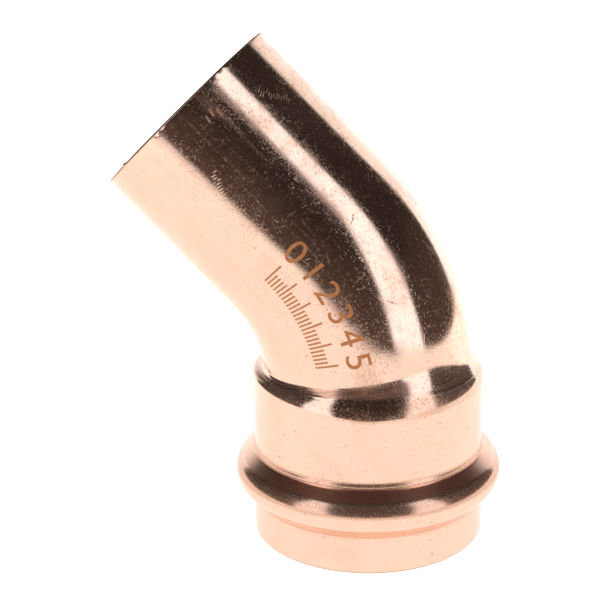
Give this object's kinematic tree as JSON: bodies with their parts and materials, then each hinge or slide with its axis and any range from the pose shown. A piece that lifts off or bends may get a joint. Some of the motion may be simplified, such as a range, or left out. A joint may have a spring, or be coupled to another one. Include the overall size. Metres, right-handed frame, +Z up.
{
  "type": "press-fit pipe elbow",
  "caption": "Copper 45 degree street elbow with a press socket at one end, a round sealing-ring bead above its mouth and a plain tube end at the other.",
  "frame": {"origin": "middle of the bounding box, on the plane of the socket's mouth", "axes": "+Z up along the socket's axis, away from its mouth; the bend lies in the XZ plane and the street end leans towards -X"},
  "size_m": [0.0652, 0.0452, 0.0846],
  "materials": {
    "bright_copper": "bright drawn copper with fine scratches",
    "black_rubber": "smooth moulded rubber"
  },
  "bodies": {
    "root": {"fitting_body": "bright_copper", "sealing_ring": "black_rubber"}
  },
  "joints": []
}
